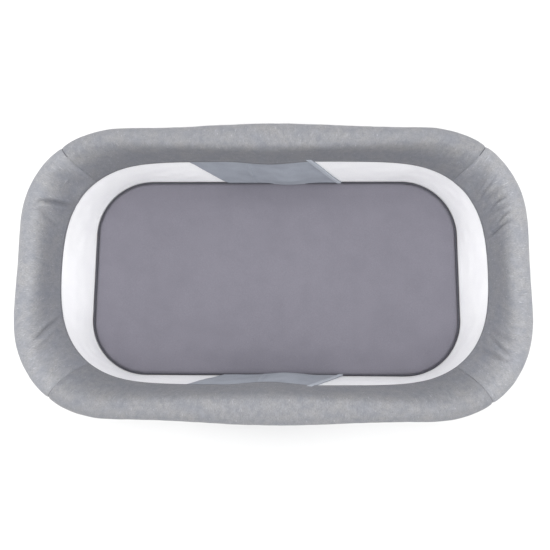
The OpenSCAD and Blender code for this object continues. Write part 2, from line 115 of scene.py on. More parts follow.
class Look:
    """A node material. add() makes a node, sets its plain inputs and links the others."""

    def __init__(self, name, roughness=0.8, metallic=0.0, sheen=0.0, specular=0.35):
        self.material = bpy.data.materials.new(name)
        self.material.use_nodes = True
        self.tree = self.material.node_tree
        self.shader = self.tree.nodes["Principled BSDF"]
        self.set("Roughness", roughness)
        self.set("Metallic", metallic)
        self.set("Sheen Weight", sheen)
        self.set("Sheen Roughness", 0.5)
        self.set("Specular IOR Level", specular)

    def set(self, name, value):
        """A plain value, or an output to link, for one of the shader's sockets."""
        if isinstance(value, bpy.types.NodeSocket):
            self.tree.links.new(value, self.shader.inputs[name])
        else:
            self.shader.inputs[name].default_value = value

    def add(self, kind, inputs=(), **settings):
        node = self.tree.nodes.new(kind)
        for key, value in settings.items():
            setattr(node, key, value)
        for key, value in dict(inputs).items():
            if isinstance(value, bpy.types.NodeSocket):
                self.tree.links.new(value, node.inputs[key])
            else:
                node.inputs[key].default_value = value
        return node

    def cloth(self):
        """Coordinates along and across the cut of a piece, in metres."""
        return self.add("ShaderNodeAttribute", attribute_name="cloth").outputs["Vector"]

    def finish(self, colour, roughness, normal):
        self.set("Base Color", colour)
        self.set("Roughness", roughness)
        self.set("Normal", normal)
        return self.material

    def place(self):
        return self.add("ShaderNodeTexCoord").outputs["Object"]

    def scaled(self, vector, scale):
        mapping = self.add("ShaderNodeMapping", {"Vector": vector, "Scale": scale})
        return mapping.outputs["Vector"]

    def noise(self, vector, scale, detail=3.0, roughness=0.5):
        made = self.add("ShaderNodeTexNoise", {"Vector": vector, "Scale": scale, "Detail": detail,
                                               "Roughness": roughness})
        return made.outputs["Fac"]

    def ramp(self, value, low, high, low_out=0.0, high_out=1.0):
        made = self.add("ShaderNodeMapRange", {"Value": value, "From Min": low, "From Max": high,
                                               "To Min": low_out, "To Max": high_out})
        return made.outputs["Result"]

    def sum(self, a, b, operation="ADD"):
        return self.add("ShaderNodeMath", {0: a, 1: b}, operation=operation).outputs[0]

    def mix(self, factor, a, b, blend="MIX"):
        made = self.tree.nodes.new("ShaderNodeMix")
        made.data_type, made.blend_type = "RGBA", blend
        sockets = [s for s in made.inputs if s.enabled]
        for socket, value in zip(sockets, (factor, a, b)):
            if isinstance(value, bpy.types.NodeSocket):
                self.tree.links.new(value, socket)
            else:
                socket.default_value = value
        return [s for s in made.outputs if s.enabled][0]

    def weave(self, vector, pitch):
        """Height of a plain weave with threads that pitch apart."""
        threads = []
        for bands in ("X", "Y"):
            wave = self.add("ShaderNodeTexWave", {"Vector": vector, "Scale": 0.314 / pitch, "Distortion": 0.4,
                                                  "Detail": 1.0, "Detail Scale": 2.0},
                            bands_direction=bands)
            threads.append(wave.outputs["Fac"])
        return self.sum(threads[0], threads[1], "MULTIPLY")

    def bump(self, height, distance, strength=1.0, under=None):
        inputs = {"Height": height, "Distance": distance, "Strength": strength}
        if under is not None:
            inputs["Normal"] = under
        return self.add("ShaderNodeBump", inputs).outputs["Normal"]


def rgb(red, green, blue):
    """A colour given as it looks on a screen, 0 to 255."""
    def linear(value):
        value /= 255
        return value / 12.92 if value <= 0.04045 else ((value + 0.055) / 1.055) ** 2.4
    return (linear(red), linear(green), linear(blue), 1)


# How far across the rim's cover, from its edge behind the hem, the painted shade on the inner face fades out
INNER_SHADE_START, INNER_SHADE_END = 62 * MM, 88 * MM


def heather_look(name, tone):
    """Mottled grey cloth, with a little painted shade below the rim's crest on the side towards the pad."""
    look = Look(name, 0.85, sheen=0.12, specular=0.2)
    cloth = look.cloth()
    across = look.add("ShaderNodeSeparateXYZ", {0: cloth}).outputs["Y"]
    blotches = look.noise(cloth, 30, 4, 0.6)
    yarn = look.noise(look.scaled(cloth, (1, 0.35, 1)), 850, 2, 0.7)
    slub = look.noise(look.scaled(cloth, (1, 0.22, 1)), 420, 2, 0.6)
    colour = look.mix(look.ramp(yarn, 0.32, 0.68), rgb(129, 129, 131), rgb(154, 154, 156))
    colour = look.mix(look.ramp(blotches, 0.35, 0.65, 0.0, 0.5), colour, rgb(122, 126, 136))
    clumps = look.noise(look.scaled(cloth, (1, 0.6, 1)), 130, 3, 0.6)
    colour = look.mix(look.ramp(clumps, 0.52, 0.66, 0.0, 0.4), colour, rgb(116, 119, 128))
    colour = look.mix(look.ramp(clumps, 0.46, 0.34, 0.0, 0.2), colour, rgb(164, 166, 172))
    colour = look.mix(look.ramp(slub, 0.63, 0.72, 0.0, 0.5), colour, rgb(182, 183, 186))
    colour = look.mix(look.ramp(slub, 0.36, 0.30, 0.0, 0.35), colour, rgb(102, 103, 108))
    # painted shade: the cover's inner face below the crest is mixed towards a dark blue-grey, standing in for
    # shade there
    inner = look.ramp(across, INNER_SHADE_END, INNER_SHADE_START, 0.0, 0.16)
    colour = look.mix(inner, colour, rgb(100, 104, 122))
    fine = look.bump(look.weave(cloth, 1.1 * MM), 0.25 * MM, 0.5)
    return look.finish(look.mix(1.0, colour, (tone, tone, tone, 1), "MULTIPLY"),
                       look.ramp(yarn, 0.3, 0.7, 0.78, 0.92),
                       look.bump(blotches, 1.2 * MM, 0.35, look.bump(slub, 0.5 * MM, 0.5, fine)))


def plain_weave_look(name, dark, light, pitch, coords="cloth", roughness=0.82, sheen=0.1, mottle=0.3):
    look = Look(name, roughness, sheen=sheen, specular=0.25)
    vector = look.cloth() if coords == "cloth" else look.place()
    weave = look.weave(vector, pitch)
    patches = look.noise(vector, 30, 4)
    yarn = look.noise(vector, 0.6 / pitch, 2, 0.6)
    colour = look.mix(look.ramp(yarn, 0.3, 0.7), dark, light)
    shade = tuple(c * 0.86 for c in dark[:3]) + (1,)
    colour = look.mix(look.ramp(patches, 0.4, 0.75, 0.0, mottle), colour, shade)
    return look.finish(colour,
                       look.ramp(patches, 0.3, 0.7, roughness - 0.06, roughness + 0.06),
                       look.bump(patches, 0.8 * MM, 0.3, look.bump(weave, 0.3 * pitch, 0.6)))


def net_look():
    look = Look("white_mesh", 0.6, sheen=0.1, specular=0.3)
    cloth = look.cloth()
    holes = look.add("ShaderNodeTexVoronoi", {"Vector": cloth, "Scale": 560, "Randomness": 0.18},
                     distance="EUCLIDEAN").outputs["Distance"]
    patches = look.noise(cloth, 22, 3)
    colour = look.mix(look.ramp(holes, 0.18, 0.36), rgb(236, 236, 240), rgb(250, 250, 251))
    colour = look.mix(look.ramp(patches, 0.45, 0.8, 0.0, 0.4), colour, rgb(240, 239, 244))
    return look.finish(colour,
                       look.ramp(holes, 0.1, 0.4, 0.75, 0.55),
                       look.bump(holes, 0.4 * MM, 0.6))


def foam_look():
    look = Look("foam", 0.95, specular=0.1)
    place = look.place()
    cells = look.add("ShaderNodeTexVoronoi", {"Vector": place, "Scale": 700}).outputs["Distance"]
    clouds = look.noise(place, 25, 3)
    colour = look.mix(look.ramp(cells, 0.1, 0.6), rgb(238, 235, 220), rgb(214, 209, 190))
    colour = look.mix(look.ramp(clouds, 0.4, 0.8, 0.0, 0.3), colour, rgb(226, 214, 182))
    return look.finish(colour,
                       look.ramp(cells, 0.0, 0.6, 0.9, 1.0),
                       look.bump(cells, 0.6 * MM, 0.5))


def metal_look(name, dark, light, roughness, metallic, grain=900, stretch=(1, 1, 1), bump=0.05):
    look = Look(name, roughness, metallic, specular=0.5)
    place = look.place()
    fine = look.noise(look.scaled(place, stretch), grain, 2, 0.6)
    marks = look.noise(place, 55, 5, 0.7)
    colour = look.mix(look.ramp(fine, 0.3, 0.7), dark, light)
    worn = tuple(c * 0.8 for c in dark[:3]) + (1,)
    colour = look.mix(look.ramp(marks, 0.55, 0.8, 0.0, 0.5), colour, worn)
    return look.finish(colour,
                       look.ramp(marks, 0.3, 0.75, roughness - 0.08, roughness + 0.12),
                       look.bump(fine, bump * MM, 0.6))


def board_look():
    look = Look("base_board", 0.8, specular=0.25)
    place = look.place()
    fibres = look.noise(look.scaled(place, (0.25, 1, 1)), 900, 3, 0.7)
    chips = look.add("ShaderNodeTexVoronoi", {"Vector": place, "Scale": 420}).outputs["Distance"]
    clouds = look.noise(place, 14, 3)
    colour = look.mix(look.ramp(fibres, 0.3, 0.7), rgb(176, 148, 112), rgb(205, 182, 148))
    colour = look.mix(look.ramp(chips, 0.45, 0.7, 0.0, 0.35), colour, rgb(150, 122, 88))
    colour = look.mix(look.ramp(clouds, 0.4, 0.8, 0.0, 0.3), colour, rgb(190, 158, 118))
    return look.finish(colour,
                       look.ramp(fibres, 0.3, 0.7, 0.7, 0.9),
                       look.bump(fibres, 0.2 * MM, 0.5))


def fleece_look(name, dark, light, scale):
    look = Look(name, 0.95, sheen=0.4, specular=0.15)
    place = look.place()
    fluff = look.noise(place, scale, 4, 0.8)
    tufts = look.add("ShaderNodeTexVoronoi", {"Vector": place, "Scale": scale * 0.7}).outputs["Distance"]
    return look.finish(look.mix(look.ramp(fluff, 0.3, 0.7), dark, light),
                       look.ramp(fluff, 0.3, 0.7, 0.85, 1.0),
                       look.bump(look.sum(fluff, tufts), 0.5 * MM, 0.8))


HEATHER = heather_look("heather_fabric", 1.0)
HEATHER_SIDES = heather_look("heather_fabric_sides", 0.84)  # the long sides' panels are drawn a tone darker than the ends
NET = net_look()
PANEL = plain_weave_look("panel_fabric", rgb(148, 153, 164), rgb(163, 168, 177), 0.9 * MM, mottle=0.6)
PANEL_HEM = plain_weave_look("panel_hem", rgb(164, 170, 180), rgb(180, 185, 194), 0.9 * MM, mottle=0.15)
PAD_CLOTH = plain_weave_look("pad_fabric", rgb(110, 108, 118), rgb(121, 119, 128), 0.8 * MM, coords="place",
                             sheen=0.2, mottle=0.25)
PIPING = plain_weave_look("piping", rgb(66, 66, 73), rgb(84, 84, 92), 0.7 * MM, coords="place", mottle=0.2)
FLOOR_CLOTH = plain_weave_look("floor_fabric", rgb(92, 92, 99), rgb(110, 110, 117), 1.2 * MM, coords="place")
THREAD = plain_weave_look("thread", rgb(178, 182, 188), rgb(205, 208, 212), 0.4 * MM, coords="place",
                          mottle=0.1)
HEM_THREAD = plain_weave_look("hem_thread", rgb(134, 135, 140), rgb(152, 153, 158), 0.4 * MM, coords="place")
SEAM = plain_weave_look("seam", rgb(66, 67, 73), rgb(82, 83, 90), 0.5 * MM, coords="place", mottle=0.2)
ZIP_TAPE = plain_weave_look("zip_tape", rgb(70, 70, 76), rgb(88, 88, 95), 0.6 * MM, coords="place")
HOOKS = fleece_look("hook_and_loop", rgb(48, 48, 54), rgb(74, 74, 82), 1400)
FOAM = foam_look()
STEEL = metal_look("frame_steel", rgb(118, 120, 124), rgb(132, 134, 138), 0.42, 0.35, grain=1600)
PLASTIC = metal_look("coupling_plastic", rgb(78, 78, 84), rgb(90, 90, 96), 0.55, 0.0, grain=2200, bump=0.08)
ZINC = metal_look("zinc", rgb(186, 189, 194), rgb(208, 211, 215), 0.32, 0.95, grain=700, stretch=(1, 1, 0.1))
BOARD = board_look()
RUBBER = metal_look("foot_rubber", rgb(34, 34, 36), rgb(46, 46, 49), 0.8, 0.0, grain=1300, bump=0.1)

BY_SLOT = {"heather_fabric": HEATHER, "white_mesh": NET, "panel_fabric": PANEL, "pad_fabric": PAD_CLOTH,
           "piping": PIPING, "floor_fabric": FLOOR_CLOTH, "hook_and_loop": HOOKS, "zip_tape": ZIP_TAPE,
           "foam": FOAM, "frame_steel": STEEL, "coupling_plastic": PLASTIC, "zinc": ZINC,
           "base_board": BOARD, "foot_rubber": RUBBER}
for part in frame["record"]["subparts"]:
    mesh = nodes[part["node"]].data
    mesh.materials.clear()
    mesh.materials.append(BY_SLOT[part["material_slot"]])

# ---------- mesh helpers ----------


def new_object(name, data):
    made = bpy.data.objects.new(name, data)
    scene.collection.objects.link(made)
    return made


def piece(name, points, faces, material, cloth=None, body="tub"):
    """A new mesh object that rides on a body. cloth gives each point's place on the flat cut."""
    mesh = bpy.data.meshes.new(name)
    mesh.from_pydata([tuple(p) for p in np.asarray(points).reshape(-1, 3)], [], faces)
    mesh.update()
    mesh.polygons.foreach_set("use_smooth", [True] * len(mesh.polygons))
    if cloth is not None:
        flat = np.zeros((len(mesh.vertices), 3), np.float32)
        flat[:, :2] = np.asarray(cloth).reshape(-1, 2)
        mesh.attributes.new("cloth", "FLOAT_VECTOR", "POINT").data.foreach_set("vector", flat.ravel())
    mesh.materials.append(material)
    made = new_object(name, mesh)
    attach(made, body)
    return made


def grid_faces(rows, columns, around=False, closed_rows=False):
    """Quads between neighbouring points of a grid. around joins the last column to the first."""
    faces = []
    for i in range(rows if closed_rows else rows - 1):
        for j in range(columns if around else columns - 1):
            k, n = (i + 1) % rows, (j + 1) % columns
            faces.append((i * columns + j, k * columns + j, k * columns + n, i * columns + n))
    return faces


def band_faces(rows, count):
    """Quads between closed lines that lie one after the other."""
    faces = []
    for k in range(rows - 1):
        for j in range(count):
            n = (j + 1) % count
            faces.append((k * count + j, k * count + n, (k + 1) * count + n, (k + 1) * count + j))
    return faces


def solidify(made, thickness, offset=0.0):
    modifier = made.modifiers.new("thickness", "SOLIDIFY")
    modifier.thickness, modifier.offset = thickness, offset
    modifier.use_even_offset = True
    return made


def soften(made, levels=1):
    modifier = made.modifiers.new("smooth", "SUBSURF")
    modifier.levels = modifier.render_levels = levels
    return made


def unit(vectors):
    return vectors / np.maximum(np.linalg.norm(vectors, axis=-1), 1e-9)[..., None]


def run_lengths(points):
    """Distance along a line of points from its first to each."""
    return np.concatenate([[0], np.cumsum(np.linalg.norm(np.diff(points, axis=0), axis=1))])


def arch(t):
    """0 at both ends of 0-1 and 1 in the middle."""
    return np.sin(np.clip(t, 0, 1) * math.pi)


def raised(line, z=0.0):
    """A flat line of x and y as points at a height."""
    return np.c_[line, np.broadcast_to(z, len(line))]


def cut(across, along):
    """Places on a flat cut for a grid with those places along its columns and rows."""
    return np.stack(np.meshgrid(across, along), axis=2)


def tube_points(line, first, second, radius, sides):
    """Rings of points round a line, on the circles that two directions across it span."""
    angles = np.linspace(0, 2 * math.pi, sides, endpoint=False)
    radius = np.broadcast_to(radius, len(line))[:, None, None]
    turn = angles[None, :, None]
    return line[:, None] + radius * (first[:, None] * np.cos(turn) + second[:, None] * np.sin(turn))


def ease(value):
    value = np.clip(value, 0, 1)
    return value * value * (3 - 2 * value)


def bump_at(x, middle, width):
    return ease(1 - np.abs(x - middle) / width)


def rough(points, size, seed):
    """Smooth noise from -1 to 1 at each point, with features about that size."""
    shift = Vector((seed * 7.3, seed * 3.1, seed * 1.7))
    flat = np.asarray(points).reshape(-1, 3)
    values = [noise.noise(Vector(p) / size + shift) for p in flat]
    return np.array(values).reshape(np.asarray(points).shape[:-1])


# ---------- rings round the tub ----------

END_STEPS, CORNER_STEPS, SIDE_STEPS = 20, 90, 160  # half an end, a corner and a long side
RING = 4 * END_STEPS + 4 * CORNER_STEPS + 2 * SIDE_STEPS
BACK_START = END_STEPS + CORNER_STEPS
FRONT_START = 3 * END_STEPS + 3 * CORNER_STEPS + SIDE_STEPS
STEP_LENGTH = 3 * MM  # about one step


def ring(half_x, half_y, corner, round_off=0, bow_x=0.0, bow_y=0.0, shift=(0.0, 0.0)):
    """Points round a rounded rectangle from the middle of the +X end, anticlockwise.
    round_off is how many neighbours each point is averaged with, and a bow moves the middle of a side out."""
    points = []

    def line(start, end, steps):
        for i in range(steps):
            points.append(np.array(start) + (np.array(end) - np.array(start)) * i / steps)

    def arc(x, y, first):
        for i in range(CORNER_STEPS):
            angle = math.radians(first + 90 * i / CORNER_STEPS)
            points.append(np.array((x + corner * math.cos(angle), y + corner * math.sin(angle))))

    x, y = half_x - corner, half_y - corner
    line((half_x, 0), (half_x, y), END_STEPS)
    arc(x, y, 0)
    line((x, half_y), (-x, half_y), SIDE_STEPS)
    arc(-x, y, 90)
    line((-half_x, y), (-half_x, -y), 2 * END_STEPS)
    arc(-x, -y, 180)
    line((-x, -half_y), (x, -half_y), SIDE_STEPS)
    arc(x, -y, 270)
    line((half_x, -y), (half_x, 0), END_STEPS)
    made = np.array(points)
    for _ in range(2 if round_off else 0):
        made = sum(np.roll(made, k, axis=0) for k in range(-round_off, round_off + 1)) / (2 * round_off + 1)
    across = np.cos(np.clip(made / (half_x, half_y), -1, 1) * math.pi / 2)
    near = np.clip(np.abs(made) / (half_x, half_y), 0, 1) ** 4 * np.sign(made)
    made[:, 0] += bow_x * across[:, 1] * near[:, 0]
    made[:, 1] += bow_y * across[:, 0] * near[:, 1]
    return made + np.array(shift)


def outward(line):
    along = unit(np.roll(line, -1, axis=0) - np.roll(line, 1, axis=0))
    return np.stack([along[:, 1], -along[:, 0]], axis=1)


def at(values, where):
    """Values of a ring at places counted in steps, between its points too."""
    low = np.floor(where).astype(int)
    share = where - low
    if values.ndim > 1:
        share = share[..., None]
    return values[low % RING] * (1 - share) + values[(low + 1) % RING] * share


roll_line = ring(cad_high.x - 18 * MM, cad_high.y - 21.8 * MM, 160.6 * MM, 9, -9.2 * MM, -6.7 * MM,
                 (-1.5 * MM, 0.9 * MM))
roll_out = outward(roll_line)
hem_line = ring(cad_high.x - 48 * MM, cad_high.y - 53 * MM, 144.4 * MM, 21, -2.2 * MM, 3.4 * MM,
                (-1.1 * MM, 4.3 * MM))
pull_in = 5.5 * MM * bump_at(hem_line[:, 0], -8 * MM, 85 * MM) * roll_out[:, 1] ** 8
hem_line[:, 1] -= np.sign(hem_line[:, 1]) * pull_in
frame_line = ring(frame_half_length, frame_half_width, 174 * MM)
wall_line = ring(wall_half_length, wall_half_width, 112 * MM)
wall_out = outward(wall_line)
to_side = roll_out[:, 1] ** 2
swell = bump_at(roll_line[:, 0], 0, 254 * MM) * to_side
roll_wide = 22 * MM - 2.2 * MM * to_side + 9.9 * MM * swell
roll_tall = 22 * MM - 1.8 * MM * to_side + 4.5 * MM * swell

# ---------- rim: heather panels over foam ----------

BACK_SEAM, LEFT_FRONT_SEAM, RIGHT_FRONT_SEAM = 52, 53, 55  # steps past the end of the straight, at a corner
RIGHT_BACK = END_STEPS + BACK_SEAM
LEFT_BACK = BACK_START + SIDE_STEPS + CORNER_STEPS - BACK_SEAM
LEFT_FRONT = BACK_START + SIDE_STEPS + CORNER_STEPS + 2 * END_STEPS + LEFT_FRONT_SEAM
RIGHT_FRONT = RING - END_STEPS - RIGHT_FRONT_SEAM
HEM_ROWS, SKIRT_ROWS, ROLL_ROWS, TAIL_ROWS = 5, 18, 60, 6
SKIRT_START, ROLL_START = HEM_ROWS, HEM_ROWS + SKIRT_ROWS
TAIL_START = ROLL_START + ROLL_ROWS
COVER_THICKNESS = 1.6 * MM
FOAM_INSET = 4 * MM
JOIN_ANGLE, END_ANGLE = math.radians(116), math.radians(-112)  # the roll's part of the section
TAIL_HEIGHT = 0.5  # where the tail meets the skirt's back, as a share of the skirt
TAIL_GAP = 2.8 * MM
HEM_FOLD, HEM_TUCK = 1.7 * MM, 12 * MM  # radius of the turned hem, and how far its end goes up behind it
SKIRT_HANDLE, ROLL_HANDLE = (6 * MM, 44 * MM), (12 * MM, 9 * MM)  # out and up, of the skirt's curve


def section(where):
    """The cover's line across the rim at each place: up from behind the hem, round under it, up the skirt,
    over the roll, down the outside and under it to the skirt's back. Rows are places, columns go along it."""
    where = np.asarray(where, float)
    middle, out = at(roll_line, where), at(roll_out, where)
    wide, tall, hem = at(roll_wide, where), at(roll_tall, where), at(hem_line, where)
    points = np.zeros((len(where), TAIL_START + TAIL_ROWS, 3))
    for j in range(HEM_ROWS):
        angle = math.pi / 2 * (j - 1) / (HEM_ROWS - 2)
        rise = HEM_TUCK if j == 0 else HEM_FOLD * (1 - math.sin(max(angle, 0)))
        depth = 2 * HEM_FOLD if j < 2 else HEM_FOLD * (1 + math.cos(angle))
        points[:, j, :2] = hem + out * depth
        points[:, j, 2] = hem_z + rise
    start = raised(hem, hem_z + 1.2 * MM)
    join = raised(middle + out * (wide * math.cos(JOIN_ANGLE))[:, None], rim_z + tall * math.sin(JOIN_ANGLE))
    first = start + raised(out * SKIRT_HANDLE[0], SKIRT_HANDLE[1])
    second = join - raised(out * ROLL_HANDLE[0], ROLL_HANDLE[1])

    def skirt(t):
        return (start * (1 - t) ** 3 + first * 3 * t * (1 - t) ** 2 + second * 3 * t ** 2 * (1 - t)
                + join * t ** 3)

    for j in range(SKIRT_ROWS):
        points[:, SKIRT_START + j] = skirt(j / SKIRT_ROWS)
    for j in range(ROLL_ROWS):
        angle = JOIN_ANGLE + (END_ANGLE - JOIN_ANGLE) * j / (ROLL_ROWS - 1)
        points[:, ROLL_START + j, :2] = middle + out * (wide * math.cos(angle))[:, None]
        points[:, ROLL_START + j, 2] = rim_z + tall * math.sin(angle)
    roll_end = points[:, TAIL_START - 1]
    tuck = skirt(TAIL_HEIGHT) + raised(out * TAIL_GAP)
    for j in range(TAIL_ROWS):
        points[:, TAIL_START + j] = roll_end + (tuck - roll_end) * (j + 1) / TAIL_ROWS
    return points


def normals_of(grid):
    along = np.gradient(grid, axis=0)
    across = np.gradient(grid, axis=1)
    return unit(np.cross(across, along))


# Folds in the cover: (place in ring steps, place across the section 0-1, length across, width in steps,
# slant in steps, depth in mm). The rim's crest is at about 0.36.
FOLDS = [
    (338.5, 0.17, 0.18, 1.6, 9, 5.5), (322, 0.17, 0.17, 6.0, 3, 5.5), (349, 0.22, 0.14, 2.4, -3, 2.2),
    (23, 0.18, 0.16, 1.3, 1.5, 3.8), (28, 0.23, 0.11, 1.2, 3, 3.0), (35, 0.18, 0.15, 1.4, -3, 2.4),
    (39, 0.21, 0.12, 1.2, 1, 3.4), (46, 0.19, 0.15, 1.5, -1, 2.6), (51, 0.17, 0.12, 1.3, 4, 3.0),
    (61, 0.17, 0.17, 5.0, 3, 4.6), (707, 0.19, 0.15, 1.6, 4, 3.6), (714, 0.20, 0.14, 1.6, -3, 3.2),
    (721, 0.19, 0.13, 1.8, 3, 2.6), (417, 0.18, 0.16, 1.8, 5, 3.8), (426, 0.20, 0.13, 2.4, -4, 2.0),
    (150, 0.20, 0.12, 6.0, 8, 0.5), (236, 0.20, 0.12, 6.0, -8, 0.6), (520, 0.20, 0.14, 6.0, 8, 0.6),
    (600, 0.20, 0.12, 6.0, -6, 0.7), (630, 0.22, 0.12, 5.0, 5, 0.6), (556, 0.18, 0.12, 5.0, -8, 0.5),
]


def folds(where, share):
    """Depth of the folds at places round the rim (down the rows) and shares of the section (along them)."""
    depth = np.zeros((len(where), len(share)))
    for place, middle, length, width, slant, deep in FOLDS:
        lean = slant * (share - middle) / length
        along = np.mod(where[:, None] - place - lean[None, :] + RING / 2, RING) - RING / 2
        window = np.clip(1 - ((share - middle) / length) ** 2, 0, 1)[None, :]
        ridges = sum(np.exp(-((along + side * 2 * width) / width) ** 2) for side in (-1, 1))
        depth -= deep * MM * window * (np.exp(-(along / width) ** 2) - 0.45 * ridges)
    return depth


SEAM_DENTS = ((1.5 * MM, 0.9), (0.7 * MM, 4.5))  # depth, and half width in ring steps


def rim_panel(name, start, stop, side, material):
    """One of the cover's four panels, stretched over the foam, with its edges pulled in at the seams."""
    if stop < start:
        stop += RING
    where = np.linspace(start, stop, int(round((stop - start) * 2)) + 1)
    grid = section(where)
    rows, columns = grid.shape[:2]
    share = np.arange(columns) / (TAIL_START - 1)
    lift = 0.55 * MM * rough(grid, 45 * MM, 1) + 0.35 * MM * rough(grid, 17 * MM, 2) + folds(where, share)
    edge = np.minimum(where - start, stop - where)
    pinch = sum(np.exp(-(edge / width) ** 2) * depth for depth, width in SEAM_DENTS)
    free = np.ones(columns)
    free[:SKIRT_START] = 0
    free[SKIRT_START:SKIRT_START + 4] = np.linspace(0.1, 0.8, 4)
    free[TAIL_START:] = np.linspace(0.8, 0, TAIL_ROWS)
    grid = grid + normals_of(grid) * ((lift - pinch[:, None]) * free[None, :])[..., None]
    across = run_lengths(grid[rows // 2])
    cloth = cut(across, where * STEP_LENGTH)[..., ::-1]
    made = piece(name, grid, grid_faces(rows, columns), material, cloth)
    solidify(made, COVER_THICKNESS, -1)
    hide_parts(f"rim_cover_{side}", f"rim_skirt_{side}")


PANELS = [("rim_left", LEFT_BACK, LEFT_FRONT, "left", HEATHER),
          ("rim_right", RIGHT_FRONT - RING, RIGHT_BACK, "right", HEATHER),
          ("rim_back", RIGHT_BACK, LEFT_BACK, "back", HEATHER_SIDES),
          ("rim_front", LEFT_FRONT, RIGHT_FRONT, "front", HEATHER_SIDES)]
COUPLING_REACH = 72 * MM
TUBE_ROOM, COUPLING_ROOM = 9.8 * MM, 15.3 * MM
BORE_START, BORE_END = math.radians(232), math.radians(-124)


def foam_piece(name, start, stop, cad):
    """Foam round the rim's steel frame: the outside follows the cover, the bore follows the frame."""
    where = np.linspace(start, stop, int((stop - start) / 2) + 1)
    grid = section(where)
    inner = grid - normals_of(grid) * FOAM_INSET
    outside = inner[:, SKIRT_START + 11:-3:2]
    count = outside.shape[1]
    turns = np.linspace(BORE_START, BORE_END, count)
    out, middle, bore = at(roll_out, where), at(roll_line, where), at(frame_line, where)
    near_middle = (np.abs(middle[:, 0]) < COUPLING_REACH) & (np.abs(out[:, 1]) > 0.9)
    hole = np.where(near_middle, COUPLING_ROOM, TUBE_ROOM)
    inside = np.zeros(outside.shape)
    inside[..., :2] = bore[:, None] + out[:, None] * (hole[:, None] * np.cos(turns)[None, :])[..., None]
    inside[..., 2] = rim_z + hole[:, None] * np.sin(turns)[None, :]
    points = np.concatenate([outside, inside], axis=1)
    faces = []
    for i in range(len(where) - 1):
        a, b = i * 2 * count, (i + 1) * 2 * count
        for j in range(count):
            k = (j + 1) % count
            faces.append((a + j, a + k, b + k, b + j))
            faces.append((a + count + k, a + count + j, b + count + j, b + count + k))
    for base in (0, (len(where) - 1) * 2 * count):
        for j in range(count):
            k = (j + 1) % count
            faces.append((base + j, base + k, base + count + k, base + count + j))
    made = piece(name, points, faces, FOAM)
    recalculate(made)
    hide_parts(cad)


def recalculate(made):
    b = bmesh.new()
    b.from_mesh(made.data)
    bmesh.ops.recalc_face_normals(b, faces=b.faces)
    b.to_mesh(made.data)
    b.free()


SEAM_RADIUS, SEAM_DEPTH = 0.75 * MM, 0.85 * MM
SEAM_DEEPER = 0.9 * MM  # at the hem


def seam(name, place):
    """The dark line where two panels of the cover are sewn together."""
    grid = section(np.array([place - 0.5, place, place + 0.5]))
    first, last = SKIRT_START - 1, TAIL_START
    normal = normals_of(grid)[1, first:last]
    fade = np.clip(np.arange(last - first) / 16, 0, 1)[:, None]
    line = grid[1, first:last] - normal * (SEAM_DEPTH + (1 - fade) * SEAM_DEEPER)
    ahead = unit(np.gradient(line, axis=0))
    side = unit(np.cross(ahead, normal))
    other = np.cross(side, ahead)
    sides = 8
    points = tube_points(line, side, other, SEAM_RADIUS, sides)
    faces = grid_faces(len(line), sides, around=True)
    end = (len(line) - 1) * sides
    faces += [tuple(range(sides))[::-1], tuple(end + k for k in range(sides))]
    piece(name, points, faces, SEAM)


foam_piece("roll_foam_right", -BACK_START, BACK_START, "rim_foam_right")
foam_piece("roll_foam_back", BACK_START, BACK_START + SIDE_STEPS, "rim_foam_back")
foam_piece("roll_foam_left", BACK_START + SIDE_STEPS, FRONT_START, "rim_foam_left")
foam_piece("roll_foam_front", FRONT_START, FRONT_START + SIDE_STEPS, "rim_foam_front")
for panel in PANELS:
    rim_panel(*panel)
for name, place in (("seam_right_back", RIGHT_BACK), ("seam_left_back", LEFT_BACK),
                    ("seam_left_front", LEFT_FRONT), ("seam_right_front", RIGHT_FRONT)):
    seam(name, place)

# ---------- walls ----------

# x of the side panels' left and right edges, at the hem and at the foot
PANEL_TOP, PANEL_FOOT = (-166 * MM, 68 * MM), (-96 * MM, 134 * MM)
WALL_TOP_Z, WALL_FOOT_Z = hem_z + 9 * MM, band_top - 4 * MM
NET_LAP = 9 * MM  # of the net behind a side panel
WALL_TOP_OUT, WALL_FOOT_IN = 2.2 * MM, 2.5 * MM  # of the net, from the hem and from the lower band
wall_top_line, wall_foot_line = hem_line + roll_out * WALL_TOP_OUT, wall_line - wall_out * WALL_FOOT_IN


def edge_x(which, t):
    """x of a side panel's left or right edge, t up the wall."""
    return PANEL_FOOT[which] + (PANEL_TOP[which] - PANEL_FOOT[which]) * t


def wall_ring(t):
    return wall_foot_line * (1 - t) + wall_top_line * t


def place_of_x(line, x, side):
    """Where a ring passes x on a long side, in ring steps; side 1 is the back."""
    start = BACK_START - 60 if side > 0 else FRONT_START - 60
    span = np.arange(start, start + SIDE_STEPS + 120)
    values = line[span % RING, 0]
    order = np.argsort(values)
    return np.interp(x, values[order], span[order])


